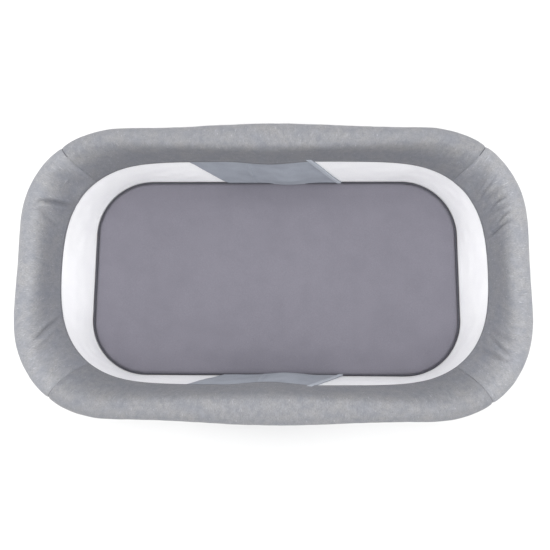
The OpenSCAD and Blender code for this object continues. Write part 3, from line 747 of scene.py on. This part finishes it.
def net_wall(name, which, cad):
    """A net wall from one side panel round an end to the other; which is 1 for the right end."""
    rows, columns = 22, 420
    grid = np.zeros((rows, columns, 3))
    for i in range(rows):
        t = i / (rows - 1)
        line = wall_ring(t)
        x = edge_x(which, t) - (NET_LAP if which else -NET_LAP)
        back, front = place_of_x(line, x, 1), place_of_x(line, x, -1)
        where = np.linspace(front - RING, back, columns) if which else np.linspace(back, front, columns)
        grid[i, :, :2] = at(line, where)
        grid[i, :, 2] = WALL_FOOT_Z + (WALL_TOP_Z - WALL_FOOT_Z) * t
    normal = normals_of(grid)
    if (normal[rows // 2, columns // 2, 0] > 0) != bool(which):
        normal = -normal
    free = np.sin(np.linspace(0, math.pi, rows))[:, None]
    sag = rough(grid * (1, 1, 0.35), 60 * MM, 5) * 2.2 * MM - 1.6 * MM
    pull = rough(grid * (1, 1, 1.6), 26 * MM, 6) * 0.8 * MM
    ends = np.clip(np.minimum(np.arange(columns), np.arange(columns)[::-1]) / 18, 0, 1)[None, :]
    grid = grid + normal * ((sag + pull) * free * ends)[..., None]
    along = run_lengths(grid[rows // 2])
    up = np.linspace(0, np.linalg.norm(grid[-1, columns // 2] - grid[0, columns // 2]), rows)
    made = piece(name, grid, grid_faces(rows, columns), NET, cut(along, up))
    solidify(made, 0.7 * MM)
    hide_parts(cad)


def side_y(x, t, side):
    line = wall_ring(t)
    return at(line, np.atleast_1d(place_of_x(line, x, side)))[:, 1]


PANEL_PROUD = 2 * MM
HEM_WIDTH = 10 * MM
# by side, 1 for the back: x and half width of the bulge over the pad's edge, and x of the standing fold
PANEL_BULGE = {1: (28 * MM, 60 * MM), -1: (22 * MM, 62 * MM)}
PANEL_FOLD = {1: -46 * MM, -1: -24 * MM}
BULGE_DEPTH, FOLD_DEPTH, FOLD_WIDTH, FOLD_SLANT = 6.5 * MM, 3.4 * MM, 3.2 * MM, 10 * MM


def panel_grid(side, rows, columns, left, right, extra=0.0, crown=0.0):
    """Points of a side panel between two shares of its width. It stands proud of the net, and its top goes
    behind the skirt's hem. extra lifts what lies on the panel, and crown rounds it."""
    grid = np.zeros((rows, columns, 3))
    for i in range(rows):
        t = i / (rows - 1)
        low, high = edge_x(0, t), edge_x(1, t)
        x = low + (high - low) * np.linspace(left, right, columns)
        grid[i, :, 0] = x
        proud = PANEL_PROUD * (1 - 0.45 * ease((t - 0.55) / 0.3)) + extra
        grid[i, :, 1] = side_y(x, t, side) - side * (proud + crown * np.sin(np.linspace(0, math.pi, columns)))
        grid[i, :, 2] = WALL_FOOT_Z + (WALL_TOP_Z - WALL_FOOT_Z) * t
    return grid


def panel_shape(grid, side):
    """Bulge over the pad's edge, the standing fold and the soft waves of a side panel."""
    x, z = grid[..., 0], grid[..., 2]
    t = (z - WALL_FOOT_Z) / (WALL_TOP_Z - WALL_FOOT_Z)
    low_down = np.clip(1 - np.abs(t - 0.22) / 0.5, 0, 1)
    inward = BULGE_DEPTH * bump_at(x, *PANEL_BULGE[side]) * low_down
    from_fold = x - PANEL_FOLD[side] - FOLD_SLANT * (0.5 - t)
    inward += FOLD_DEPTH * np.exp(-(from_fold / FOLD_WIDTH) ** 2) * arch(t)
    waves = 1.4 * rough(grid, 38 * MM, 11 + side) + 0.6 * rough(grid, 15 * MM, 14 + side)
    inward += waves * MM * arch(t) ** 0.5
    grid = grid.copy()
    grid[..., 1] -= side * np.maximum(inward, -0.3 * MM)
    return grid


def side_panel(name, side, cad):
    rows, columns = 40, 120
    grid = panel_shape(panel_grid(side, rows, columns, 0.0, 1.0), side)
    along = np.linspace(0, PANEL_TOP[1] - PANEL_TOP[0], columns)
    up = np.linspace(0, float(np.linalg.norm(grid[-1, 60] - grid[0, 60])), rows)
    made = piece(name, grid, grid_faces(rows, columns), PANEL, cut(along, up))
    solidify(made, 1.3 * MM)
    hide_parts(cad)
    band = panel_shape(panel_grid(side, rows, 8, 0.960, 1.003, 1.1 * MM, 0.7 * MM), side)
    strip = piece(f"{name}_hem", band, grid_faces(rows, 8), PANEL_HEM,
                  cut(np.linspace(0, HEM_WIDTH, 8), up))
    solidify(strip, 1.2 * MM)
    lines = [panel_shape(panel_grid(side, rows, 2, share, share + 0.001, 2.1 * MM), side)[:, 0]
             for share in (0.967, 0.994)]
    stitches(f"{name}_stitches", lines, 3.2 * MM, 0.42 * MM)


def spread_points(line, pitch):
    """Points along a polyline a pitch apart, and the directions there."""
    line = np.asarray(line)
    length = run_lengths(line)
    where = np.arange(pitch / 2, length[-1], pitch)
    points = np.stack([np.interp(where, length, line[:, k]) for k in range(3)], axis=1)
    ahead = np.stack([np.interp(where + pitch * 0.3, length, line[:, k]) for k in range(3)], axis=1)
    behind = np.stack([np.interp(where - pitch * 0.3, length, line[:, k]) for k in range(3)], axis=1)
    return points, unit(ahead - behind)


def stitches(name, lines, pitch, radius, body="tub", material=None, fill=0.66):
    """Short rounded threads laid end to end along lines, all in one mesh."""
    points, faces = [], []
    sides = 6
    for line in lines:
        places, ways = spread_points(line, pitch)
        for place, way in zip(places, ways):
            way = Vector(way)
            first = way.orthogonal().normalized()
            second = way.cross(first)
            base = len(points)
            profile = [(-0.5, 0.0), (-0.42, 0.75), (-0.15, 1.0), (0.15, 1.0), (0.42, 0.75), (0.5, 0.0)]
            for share, wide in profile:
                middle = Vector(place) + way * (share * pitch * fill)
                if wide == 0:
                    points.append(middle)
                    continue
                for k in range(sides):
                    angle = 2 * math.pi * k / sides
                    spoke = first * math.cos(angle) + second * math.sin(angle)
                    points.append(middle + spoke * radius * wide)
            inner = len(profile) - 2
            last = base + 1 + inner * sides
            for k in range(sides):
                n = (k + 1) % sides
                faces.append((base, base + 1 + n, base + 1 + k))
                for row in range(inner - 1):
                    a = base + 1 + row * sides
                    faces.append((a + k, a + n, a + sides + n, a + sides + k))
                a = base + 1 + (inner - 1) * sides
                faces.append((a + k, a + n, last))
    return piece(name, points, faces, material or THREAD, body=body)


net_wall("net_right", 1, "mesh_wall_right")
net_wall("net_left", 0, "mesh_wall_left")
side_panel("panel_back", 1, "side_panel_back")
side_panel("panel_front", -1, "side_panel_front")


def lower_band(name, start, stop, cad):
    """The band between the net and the base board, turned over at its top edge."""
    where = np.linspace(start, stop, int(stop - start) + 1)
    line, out = at(wall_line, where), at(wall_out, where)
    profile = [(0.4, band_foot + 1 * MM), (0.9, band_foot + 5 * MM), (1.0, band_foot + 12 * MM),
               (1.0, band_foot + 20 * MM), (1.0, band_top - 12 * MM), (0.8, band_top - 5 * MM),
               (0.4, band_top - 1.2 * MM), (1.0, band_top - 0.2 * MM), (2.1, band_top - 0.9 * MM),
               (2.6, band_top - 4 * MM), (2.5, band_top - 9 * MM), (2.3, band_top - 10 * MM)]
    grid = np.zeros((len(where), len(profile), 3))
    wave = rough(raised(line), 70 * MM, 21) * 0.5 * MM
    for j, (depth, z) in enumerate(profile):
        grid[:, j, :2] = line + out * (depth * MM + wave * (0.2 < j / (len(profile) - 1) < 0.8))[:, None]
        grid[:, j, 2] = z
    across = run_lengths(grid[0])
    made = piece(name, grid, grid_faces(*grid.shape[:2]), PANEL, cut(across, where * STEP_LENGTH))
    solidify(made, 0.9 * MM)
    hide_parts(cad)
    sewn = raised(line + out * 3.2 * MM, band_top - 7.5 * MM)
    stitches(f"{name}_stitches", [sewn], 4.5 * MM, 0.4 * MM)


middle_back, middle_front = BACK_START + SIDE_STEPS // 2, FRONT_START + SIDE_STEPS // 2
lower_band("band_right", middle_front - RING, middle_back, "lower_band_right")
lower_band("band_left", middle_back, middle_front, "lower_band_left")


def hem_stitches(name, start, stop):
    if stop < start:
        stop += RING
    where = np.linspace(start + 1.5, stop - 1.5, int(stop - start))
    hem, out = at(hem_line, where), at(roll_out, where)
    sewn = raised(hem - out * 0.75 * MM, hem_z + 7.5 * MM)
    stitches(name, [sewn], 4.0 * MM, 0.36 * MM, material=HEM_THREAD)


for name, start, stop, _, _ in PANELS:
    hem_stitches(f"{name}_hem_stitches", start, stop)


def flat_plan(half_x, half_y, corner, z, rings=14, sink=None):
    """A filled rounded rectangle made of rings that shrink to a line, as points and faces."""
    corner = min(corner, half_y)
    points = []
    for k in range(rings):
        inset = (half_y - 1 * MM) * (k / (rings - 1)) ** 1.25
        line = ring(half_x - inset, half_y - inset, max(corner - inset, 0.5 * MM))[::2]
        height = z if sink is None else z + sink(line, inset)
        points.append(raised(line, height))
    count = len(points[0])
    faces = band_faces(rings, count)
    faces.append(tuple((rings - 1) * count + j for j in range(count)))
    return np.concatenate(points), faces


def floor_cloth():
    inset = 0.5 * MM
    points, faces = flat_plan(wall_half_length - inset, wall_half_width - inset, 111 * MM,
                              floor_top - 0.6 * MM,
                              sink=lambda line, depth: 0.3 * MM * rough(raised(line), 60 * MM, 31))
    made = piece("floor_cloth", points, faces, FLOOR_CLOTH)
    solidify(made, 0.9 * MM)
    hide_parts("floor_fabric")


floor_cloth()

# ---------- pad ----------

PAD_CORNER = 108.5 * MM
PIPING_RADIUS = 1.4 * MM
PIPING_INSET = 1.7 * MM  # of its middle line from the pad's edge


def pad_cover():
    """The pad's top and sides as one closed form, swelled as cloth, then opened underneath."""
    inset = 1.6 * MM
    low, high = pad_base_z + 1.5 * MM, pad_top_z - 1.6 * MM
    levels = 7
    line = ring(pad_half_length - inset, pad_half_width - inset, PAD_CORNER - inset)
    points = [raised(line, low + (high - low) * k / (levels - 1)) for k in range(levels)]
    faces = band_faces(levels, RING)
    faces.append(tuple((levels - 1) * RING + j for j in range(RING)))
    faces.append(tuple(range(RING))[::-1])
    made = piece("pad_cover", np.concatenate(points), faces, PAD_CLOTH, body="pad")
    bpy.context.view_layer.update()
    remesh = made.modifiers.new("remesh", "REMESH")
    remesh.mode, remesh.voxel_size = "VOXEL", 5 * MM
    bake_modifiers(made)
    before = coordinates(made.data)
    swell_as_cloth(made, 5 * MM)
    return made, before


def bake_modifiers(made):
    """Applies a piece's modifiers to its mesh."""
    graph = bpy.context.evaluated_depsgraph_get()
    mesh = bpy.data.meshes.new_from_object(made.evaluated_get(graph), depsgraph=graph)
    old = made.data
    made.modifiers.clear()
    made.data = mesh
    mesh.name = old.name
    mesh.polygons.foreach_set("use_smooth", [True] * len(mesh.polygons))


def coordinates(mesh):
    values = np.zeros(len(mesh.vertices) * 3, np.float32)
    mesh.vertices.foreach_get("co", values)
    return values.reshape(-1, 3).astype(float)


def swell_as_cloth(made, cap):
    """Blows the piece up a little as cloth, with no point moving further than the cap."""
    before = coordinates(made.data)
    cloth = made.modifiers.new("cloth", "CLOTH")
    cloth.settings.use_pressure = True
    cloth.settings.uniform_pressure_force = 4
    cloth.settings.effector_weights.gravity = 0
    cloth.point_cache.frame_start, cloth.point_cache.frame_end = 1, 20
    for number in range(1, 21):
        scene.frame_set(number)
    graph = bpy.context.evaluated_depsgraph_get()
    after = coordinates(made.evaluated_get(graph).data)
    made.modifiers.clear()
    scene.frame_set(1)
    move = after - before
    far = np.linalg.norm(move, axis=1)
    move *= np.minimum(1, cap / np.maximum(far, 1e-9))[:, None]
    made.data.vertices.foreach_set("co", (before + move).astype(np.float32).ravel())
    made.data.update()


def outline_distance(points, half_x, half_y, corner):
    """How far inside a rounded rectangle each point is."""
    q = np.abs(points[:, :2]) - (half_x - corner, half_y - corner)
    return corner - (np.linalg.norm(np.maximum(q, 0), axis=1) + np.minimum(q.max(axis=1), 0))


SWELL_FADE = 40 * MM
# how far in from the edge the sides reach, and how far below the piping's top the upper face does
SIDE_DEPTH, UPPER_DEPTH = 2.6 * MM, 8 * MM
CROWN, CROWN_RISE = 3.2 * MM, 60 * MM  # height of the top's middle, and how far from the edge it is reached
DECK_DROP = 1.3 * MM  # of the top's edge below the piping's
GROOVE_DEPTH, GROOVE_PLACE, GROOVE_WIDTH = 1.0 * MM, 3.6 * MM, 1.8 * MM
BELLY = 1.4 * MM  # of the sides
UNDER_HEIGHT = 3.2 * MM  # faces lower than this are cut away, where the base is


def finish_pad_cover(made, before):
    """Sets the crown, the groove beside the piping and the flat underside of the sides. before is the shape
    that was swelled; near the edge, which the piping holds, the swelling fades out."""
    mesh = made.data
    inside = outline_distance(before, pad_half_length, pad_half_width, PAD_CORNER)
    points = before + (coordinates(mesh) - before) * ease(inside / SWELL_FADE)[:, None]
    sides = inside <= SIDE_DEPTH
    upper = (before[:, 2] > pad_top_z - UPPER_DEPTH) & ~sides
    crown = CROWN * ease(inside / CROWN_RISE) * (0.85 + 0.3 * rough(points * (1, 1, 0), 120 * MM, 41))
    crown += 0.5 * MM * rough(points * (1, 1, 0), 45 * MM, 42) * ease(inside / (30 * MM))
    deck = pad_top_z - DECK_DROP
    groove = GROOVE_DEPTH * np.exp(-((inside - GROOVE_PLACE) / GROOVE_WIDTH) ** 2)
    held = np.minimum(points[upper, 2], deck) * 0.3 + deck * 0.7
    points[upper, 2] = held + crown[upper] - groove[upper]
    height = (points[:, 2] - pad_base_z) / (pad_top_z - pad_base_z)
    belly = BELLY * arch(height) - 0.4 * MM
    belly += 0.5 * MM * rough(points, 30 * MM, 43)
    excess = 1.2 * MM - inside - belly
    straight = (pad_half_length - PAD_CORNER, pad_half_width - PAD_CORNER)
    q = points[:, :2] - np.clip(points[:, :2], [-s for s in straight], straight)
    way = unit(q)
    points[sides, :2] -= way[sides] * excess[sides][:, None]
    mesh.vertices.foreach_set("co", points.astype(np.float32).ravel())
    b = bmesh.new()
    b.from_mesh(mesh)
    under = [f for f in b.faces if f.calc_center_median().z < pad_base_z + UNDER_HEIGHT]
    bmesh.ops.delete(b, geom=under, context="FACES")
    b.to_mesh(mesh)
    b.free()
    mesh.update()
    soften(made, 1)
    solidify(made, 1.2 * MM, -1)
    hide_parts("pad_cover_top", "pad_side_band")


finish_pad_cover(*pad_cover())


def tube_round(name, line, radius, material, body, lumps=0.0, seed=0, sides=14):
    """A round closed tube along a closed 3-D line."""
    line = np.asarray(line)
    ahead = unit(np.roll(line, -1, axis=0) - np.roll(line, 1, axis=0))
    flat = np.stack([ahead[:, 1], -ahead[:, 0], np.zeros(len(line))], axis=1)
    size = radius * (1 + lumps * rough(line, 25 * MM, seed))
    points = tube_points(line, flat, np.array([(0, 0, 1)]), size, sides)
    return piece(name, points, grid_faces(len(line), sides, around=True, closed_rows=True), material,
                 body=body)


def piping(name, z, cad, seed):
    line = ring(pad_half_length - PIPING_INSET, pad_half_width - PIPING_INSET, PAD_CORNER - PIPING_INSET)
    wobble = 0.25 * MM * rough(raised(line), 40 * MM, seed)
    line = line + outward(line) * wobble[:, None]
    made = tube_round(name, raised(line, z + wobble * 0.5), PIPING_RADIUS, PIPING, "pad",
                      lumps=0.05, seed=seed)
    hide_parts(cad)


piping("piping_top", pad_top_z - PIPING_RADIUS, "pad_piping_top", 51)
piping("piping_bottom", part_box("pad_piping_bottom")[0].z + PIPING_RADIUS, "pad_piping_bottom", 52)

tape_low, tape_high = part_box("pad_zip_tapes")
ZIP_X, ZIP_HALF = (tape_low.x + tape_high.x) / 2, tape_high.y


def pad_base():
    """The underside of the cover, with a slot for the zip."""
    inset = 3.8 * MM
    points, faces = flat_plan(pad_half_length - inset, pad_half_width - inset, PAD_CORNER - inset,
                              pad_base_z + 0.75 * MM, rings=10)
    made = piece("pad_base", points, faces, PAD_CLOTH, body="pad")
    solidify(made, 1.2 * MM)
    cutter_mesh = bpy.data.meshes.new("cutter")
    b = bmesh.new()
    bmesh.ops.create_cube(b, size=1)
    bmesh.ops.scale(b, vec=(10 * MM, 2 * ZIP_HALF, 20 * MM), verts=b.verts)
    bmesh.ops.translate(b, vec=(ZIP_X, 0, pad_base_z), verts=b.verts)
    b.to_mesh(cutter_mesh)
    b.free()
    cutter = new_object("cutter", cutter_mesh)
    cut = made.modifiers.new("slot", "BOOLEAN")
    cut.operation, cut.solver, cut.object = "DIFFERENCE", "EXACT", cutter
    bpy.context.view_layer.update()
    bake_modifiers(made)
    bpy.data.objects.remove(cutter)
    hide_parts("pad_cover_base")
    lines = []
    for sx in (-1, 1):
        lines.append([(ZIP_X + sx * 7 * MM, y, pad_base_z + 0.05 * MM)
                      for y in np.linspace(-ZIP_HALF, ZIP_HALF, 60)])
    stitches("zip_stitches", lines, 3 * MM, 0.35 * MM, body="pad")


pad_base()


def pad_core():
    """The foam in the pad, closed, with a groove over the zip."""
    inset = 6 * MM
    low, high = pad_base_z + 1.6 * MM, pad_top_z - 4.8 * MM
    half_x, half_y, corner = pad_half_length - inset, pad_half_width - inset, PAD_CORNER - inset

    def crown(line, depth):
        return 3.6 * MM * float(ease(depth / (60 * MM)))

    def groove(line, depth):
        near = (np.abs(line[:, 0] - ZIP_X) < 16 * MM) & (np.abs(line[:, 1]) < ZIP_HALF + 6 * MM)
        return np.where(near, 3.2 * MM, 0.0)

    upper, faces = flat_plan(half_x, half_y, corner, high, sink=crown, rings=24)
    lower, _ = flat_plan(half_x, half_y, corner, low, sink=groove, rings=24)
    count, total = RING // 2, len(upper)
    faces = faces + [tuple(i + total for i in face[::-1]) for face in faces]
    for j in range(count):
        n = (j + 1) % count
        faces.append((j, total + j, total + n, n))
    made = piece("pad_core", np.concatenate([upper, lower]), faces, FOAM, body="pad")
    recalculate(made)
    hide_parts("pad_foam")


pad_core()


TAB_HALF_X, TAB_HALF_Y, TAB_CORNER = 20 * MM, 12.5 * MM, 4 * MM


def tabs(name, cad, body, below):
    """Four patches of hook or loop tape with sewn edges."""
    low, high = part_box(cad)
    half_x, half_y = TAB_HALF_X, TAB_HALF_Y
    centre_x, centre_y = high.x - half_x, high.y - half_y
    points, faces, lines = [], [], []
    for sx in (-1, 1):
        for sy in (-1, 1):
            base = len(points)
            rows, columns = 14, 20
            for i in range(rows):
                for j in range(columns):
                    x = -half_x + 2 * half_x * j / (columns - 1)
                    y = -half_y + 2 * half_y * i / (rows - 1)
                    edge = min(half_x - abs(x), half_y - abs(y))
                    corner_x = max(abs(x) - half_x + TAB_CORNER, 0)
                    corner_y = max(abs(y) - half_y + TAB_CORNER, 0)
                    over = math.hypot(corner_x, corner_y) - TAB_CORNER
                    if over > 0:
                        x -= math.copysign(over * 0.7, x)
                        y -= math.copysign(over * 0.7, y)
                    swell = 0.22 * MM * min(edge / (3 * MM), 1)
                    z = (low.z + high.z) / 2 + (-swell if below else swell)
                    points.append((sx * centre_x + x, sy * centre_y + y, z))
            faces += [tuple(base + k for k in face) for face in grid_faces(rows, columns)]
            box = [(-1, -1), (1, -1), (1, 1), (-1, 1), (-1, -1)]
            z = low.z + 0.1 * MM if below else high.z - 0.1 * MM
            sewn_x, sewn_y = half_x - 2.4 * MM, half_y - 2.4 * MM
            lines.append([(sx * centre_x + a * sewn_x, sy * centre_y + c * sewn_y, z) for a, c in box])
    made = piece(name, points, faces, HOOKS, body=body)
    solidify(made, 0.5 * MM)
    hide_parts(cad)
    stitches(f"{name}_stitches", lines, 2.6 * MM, 0.2 * MM, body=body)


tabs("hook_tabs", "pad_hook_tabs", "pad", True)
tabs("loop_tabs", "floor_loop_tabs", "tub", False)


COIL_PITCH, COIL_MARGIN = 1.5 * MM, 2 * MM  # from turn to turn, and from the tape's end


def zip_tapes():
    """Two woven tapes, each with a row of coil turns along its inner edge."""
    points, faces, lines = [], [], []
    rows = 60
    for sx in (-1, 1):
        base = len(points)
        columns = [0.9 * MM, 2.6 * MM, 3.2 * MM, 8 * MM, 12.2 * MM, 12.8 * MM]
        lifts = [0.25, 0.25, 0.0, 0.0, 0.08, 0.0]
        for i in range(rows):
            y = -ZIP_HALF + 2 * ZIP_HALF * i / (rows - 1)
            for x, lift in zip(columns, lifts):
                points.append((ZIP_X + sx * x, y, tape_high.z - 0.3 * MM - lift * 0.4 * MM))
        faces += [tuple(base + k for k in face) for face in grid_faces(rows, len(columns))]
    made = piece("zip_tapes", points, faces, ZIP_TAPE, body="pad")
    solidify(made, 0.35 * MM)
    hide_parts("pad_zip_tapes")
    first, count = -ZIP_HALF + COIL_MARGIN, int(2 * (ZIP_HALF - COIL_MARGIN) / COIL_PITCH)
    for sx in (-1, 1):
        for i in range(count):
            y = first + COIL_PITCH * i + (COIL_PITCH / 2 if sx > 0 else 0)
            z = tape_low.z + 0.42 * MM
            lines.append([(ZIP_X + sx * 0.75 * MM, y, z), (ZIP_X + sx * 2.1 * MM, y + 0.2 * MM, z)])
    stitches("zip_coils", lines, 1.36 * MM, 0.36 * MM, body="pad", material=ZIP_TAPE,
             fill=1.0)


zip_tapes()


def rounded_box(b, low, high, bevel):
    made = bmesh.ops.create_cube(b, size=1)["verts"]
    size = [h - l for l, h in zip(low, high)]
    bmesh.ops.scale(b, vec=size, verts=made)
    bmesh.ops.translate(b, vec=[(h + l) / 2 for l, h in zip(low, high)], verts=made)
    edges = list({e for v in made for e in v.link_edges})
    bmesh.ops.bevel(b, geom=edges, offset=bevel, segments=3, profile=0.5, affect="EDGES")


def zip_slider():
    """A slider without a pull: two plates joined by a bridge, with a small block standing out under the lower
    plate.
    """
    low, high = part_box("zip_slider")
    mid_y, half_x = (low.y + high.y) / 2, high.x - ZIP_X
    plate = 1.0 * MM
    b = bmesh.new()
    for z0 in (low.z, high.z - plate):
        rounded_box(b, (ZIP_X - half_x, low.y, z0), (ZIP_X + half_x, high.y, z0 + plate), 0.35 * MM)
    rounded_box(b, (ZIP_X - 0.28 * MM, mid_y, low.z + 0.4 * MM),
                (ZIP_X + 0.28 * MM, high.y - 0.6 * MM, high.z - 0.4 * MM), 0.1 * MM)
    rounded_box(b, (ZIP_X - 1.1 * MM, low.y + 2.2 * MM, low.z - 0.25 * MM),
                (ZIP_X + 1.1 * MM, high.y - 2.2 * MM, low.z + 0.4 * MM), 0.2 * MM)
    mesh = bpy.data.meshes.new("slider")
    b.to_mesh(mesh)
    b.free()
    mesh.polygons.foreach_set("use_smooth", [True] * len(mesh.polygons))
    mesh.materials.append(ZINC)
    made = new_object("slider", mesh)
    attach(made, "zip_slider")
    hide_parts("zip_slider")


zip_slider()

# ---------- floor and light ----------


def stage_floor():
    mesh = bpy.data.meshes.new("ground")
    b = bmesh.new()
    bmesh.ops.create_grid(b, x_segments=2, y_segments=2, size=30)
    b.to_mesh(mesh)
    b.free()
    ground = new_object("ground", mesh)
    look = Look("ground", 0.9, specular=0.0)
    look.set("Base Color", (0.72, 0.72, 0.72, 1))
    mesh.materials.append(look.material)


stage_floor()


def area_light(name, place, aim, size, power, colour=(1, 1, 1)):
    data = bpy.data.lights.new(name, "AREA")
    data.shape, data.size, data.energy, data.color = "SQUARE", size, power, colour
    light = new_object(name, data)
    light.location = place
    light.rotation_mode = "QUATERNION"
    light.rotation_quaternion = (Vector(place) - Vector(aim)).to_track_quat("Z", "Y")


area_light("overhead", (0, 0.1, 2.4), (0, 0, 0.1), 2.6, 50)
area_light("left", (-2.2, 0.3, 1.0), (0, 0, 0.15), 1.4, 13)
area_light("right", (2.2, 0.3, 1.0), (0, 0, 0.15), 1.4, 13)
area_light("front", (0, -1.7, 2.2), (0, 0.2, 0.1), 1.6, 18)
area_light("back", (0, 2.2, 1.4), (0, 0, 0.15), 1.4, 8)
world = bpy.data.worlds.new("world")
world.use_nodes = True
background = world.node_tree.nodes["Background"].inputs
background["Color"].default_value, background["Strength"].default_value = (1, 1, 1, 1), 0.75
scene.world = world
scene.view_settings.view_transform = "Standard"
scene.view_settings.look = "None"
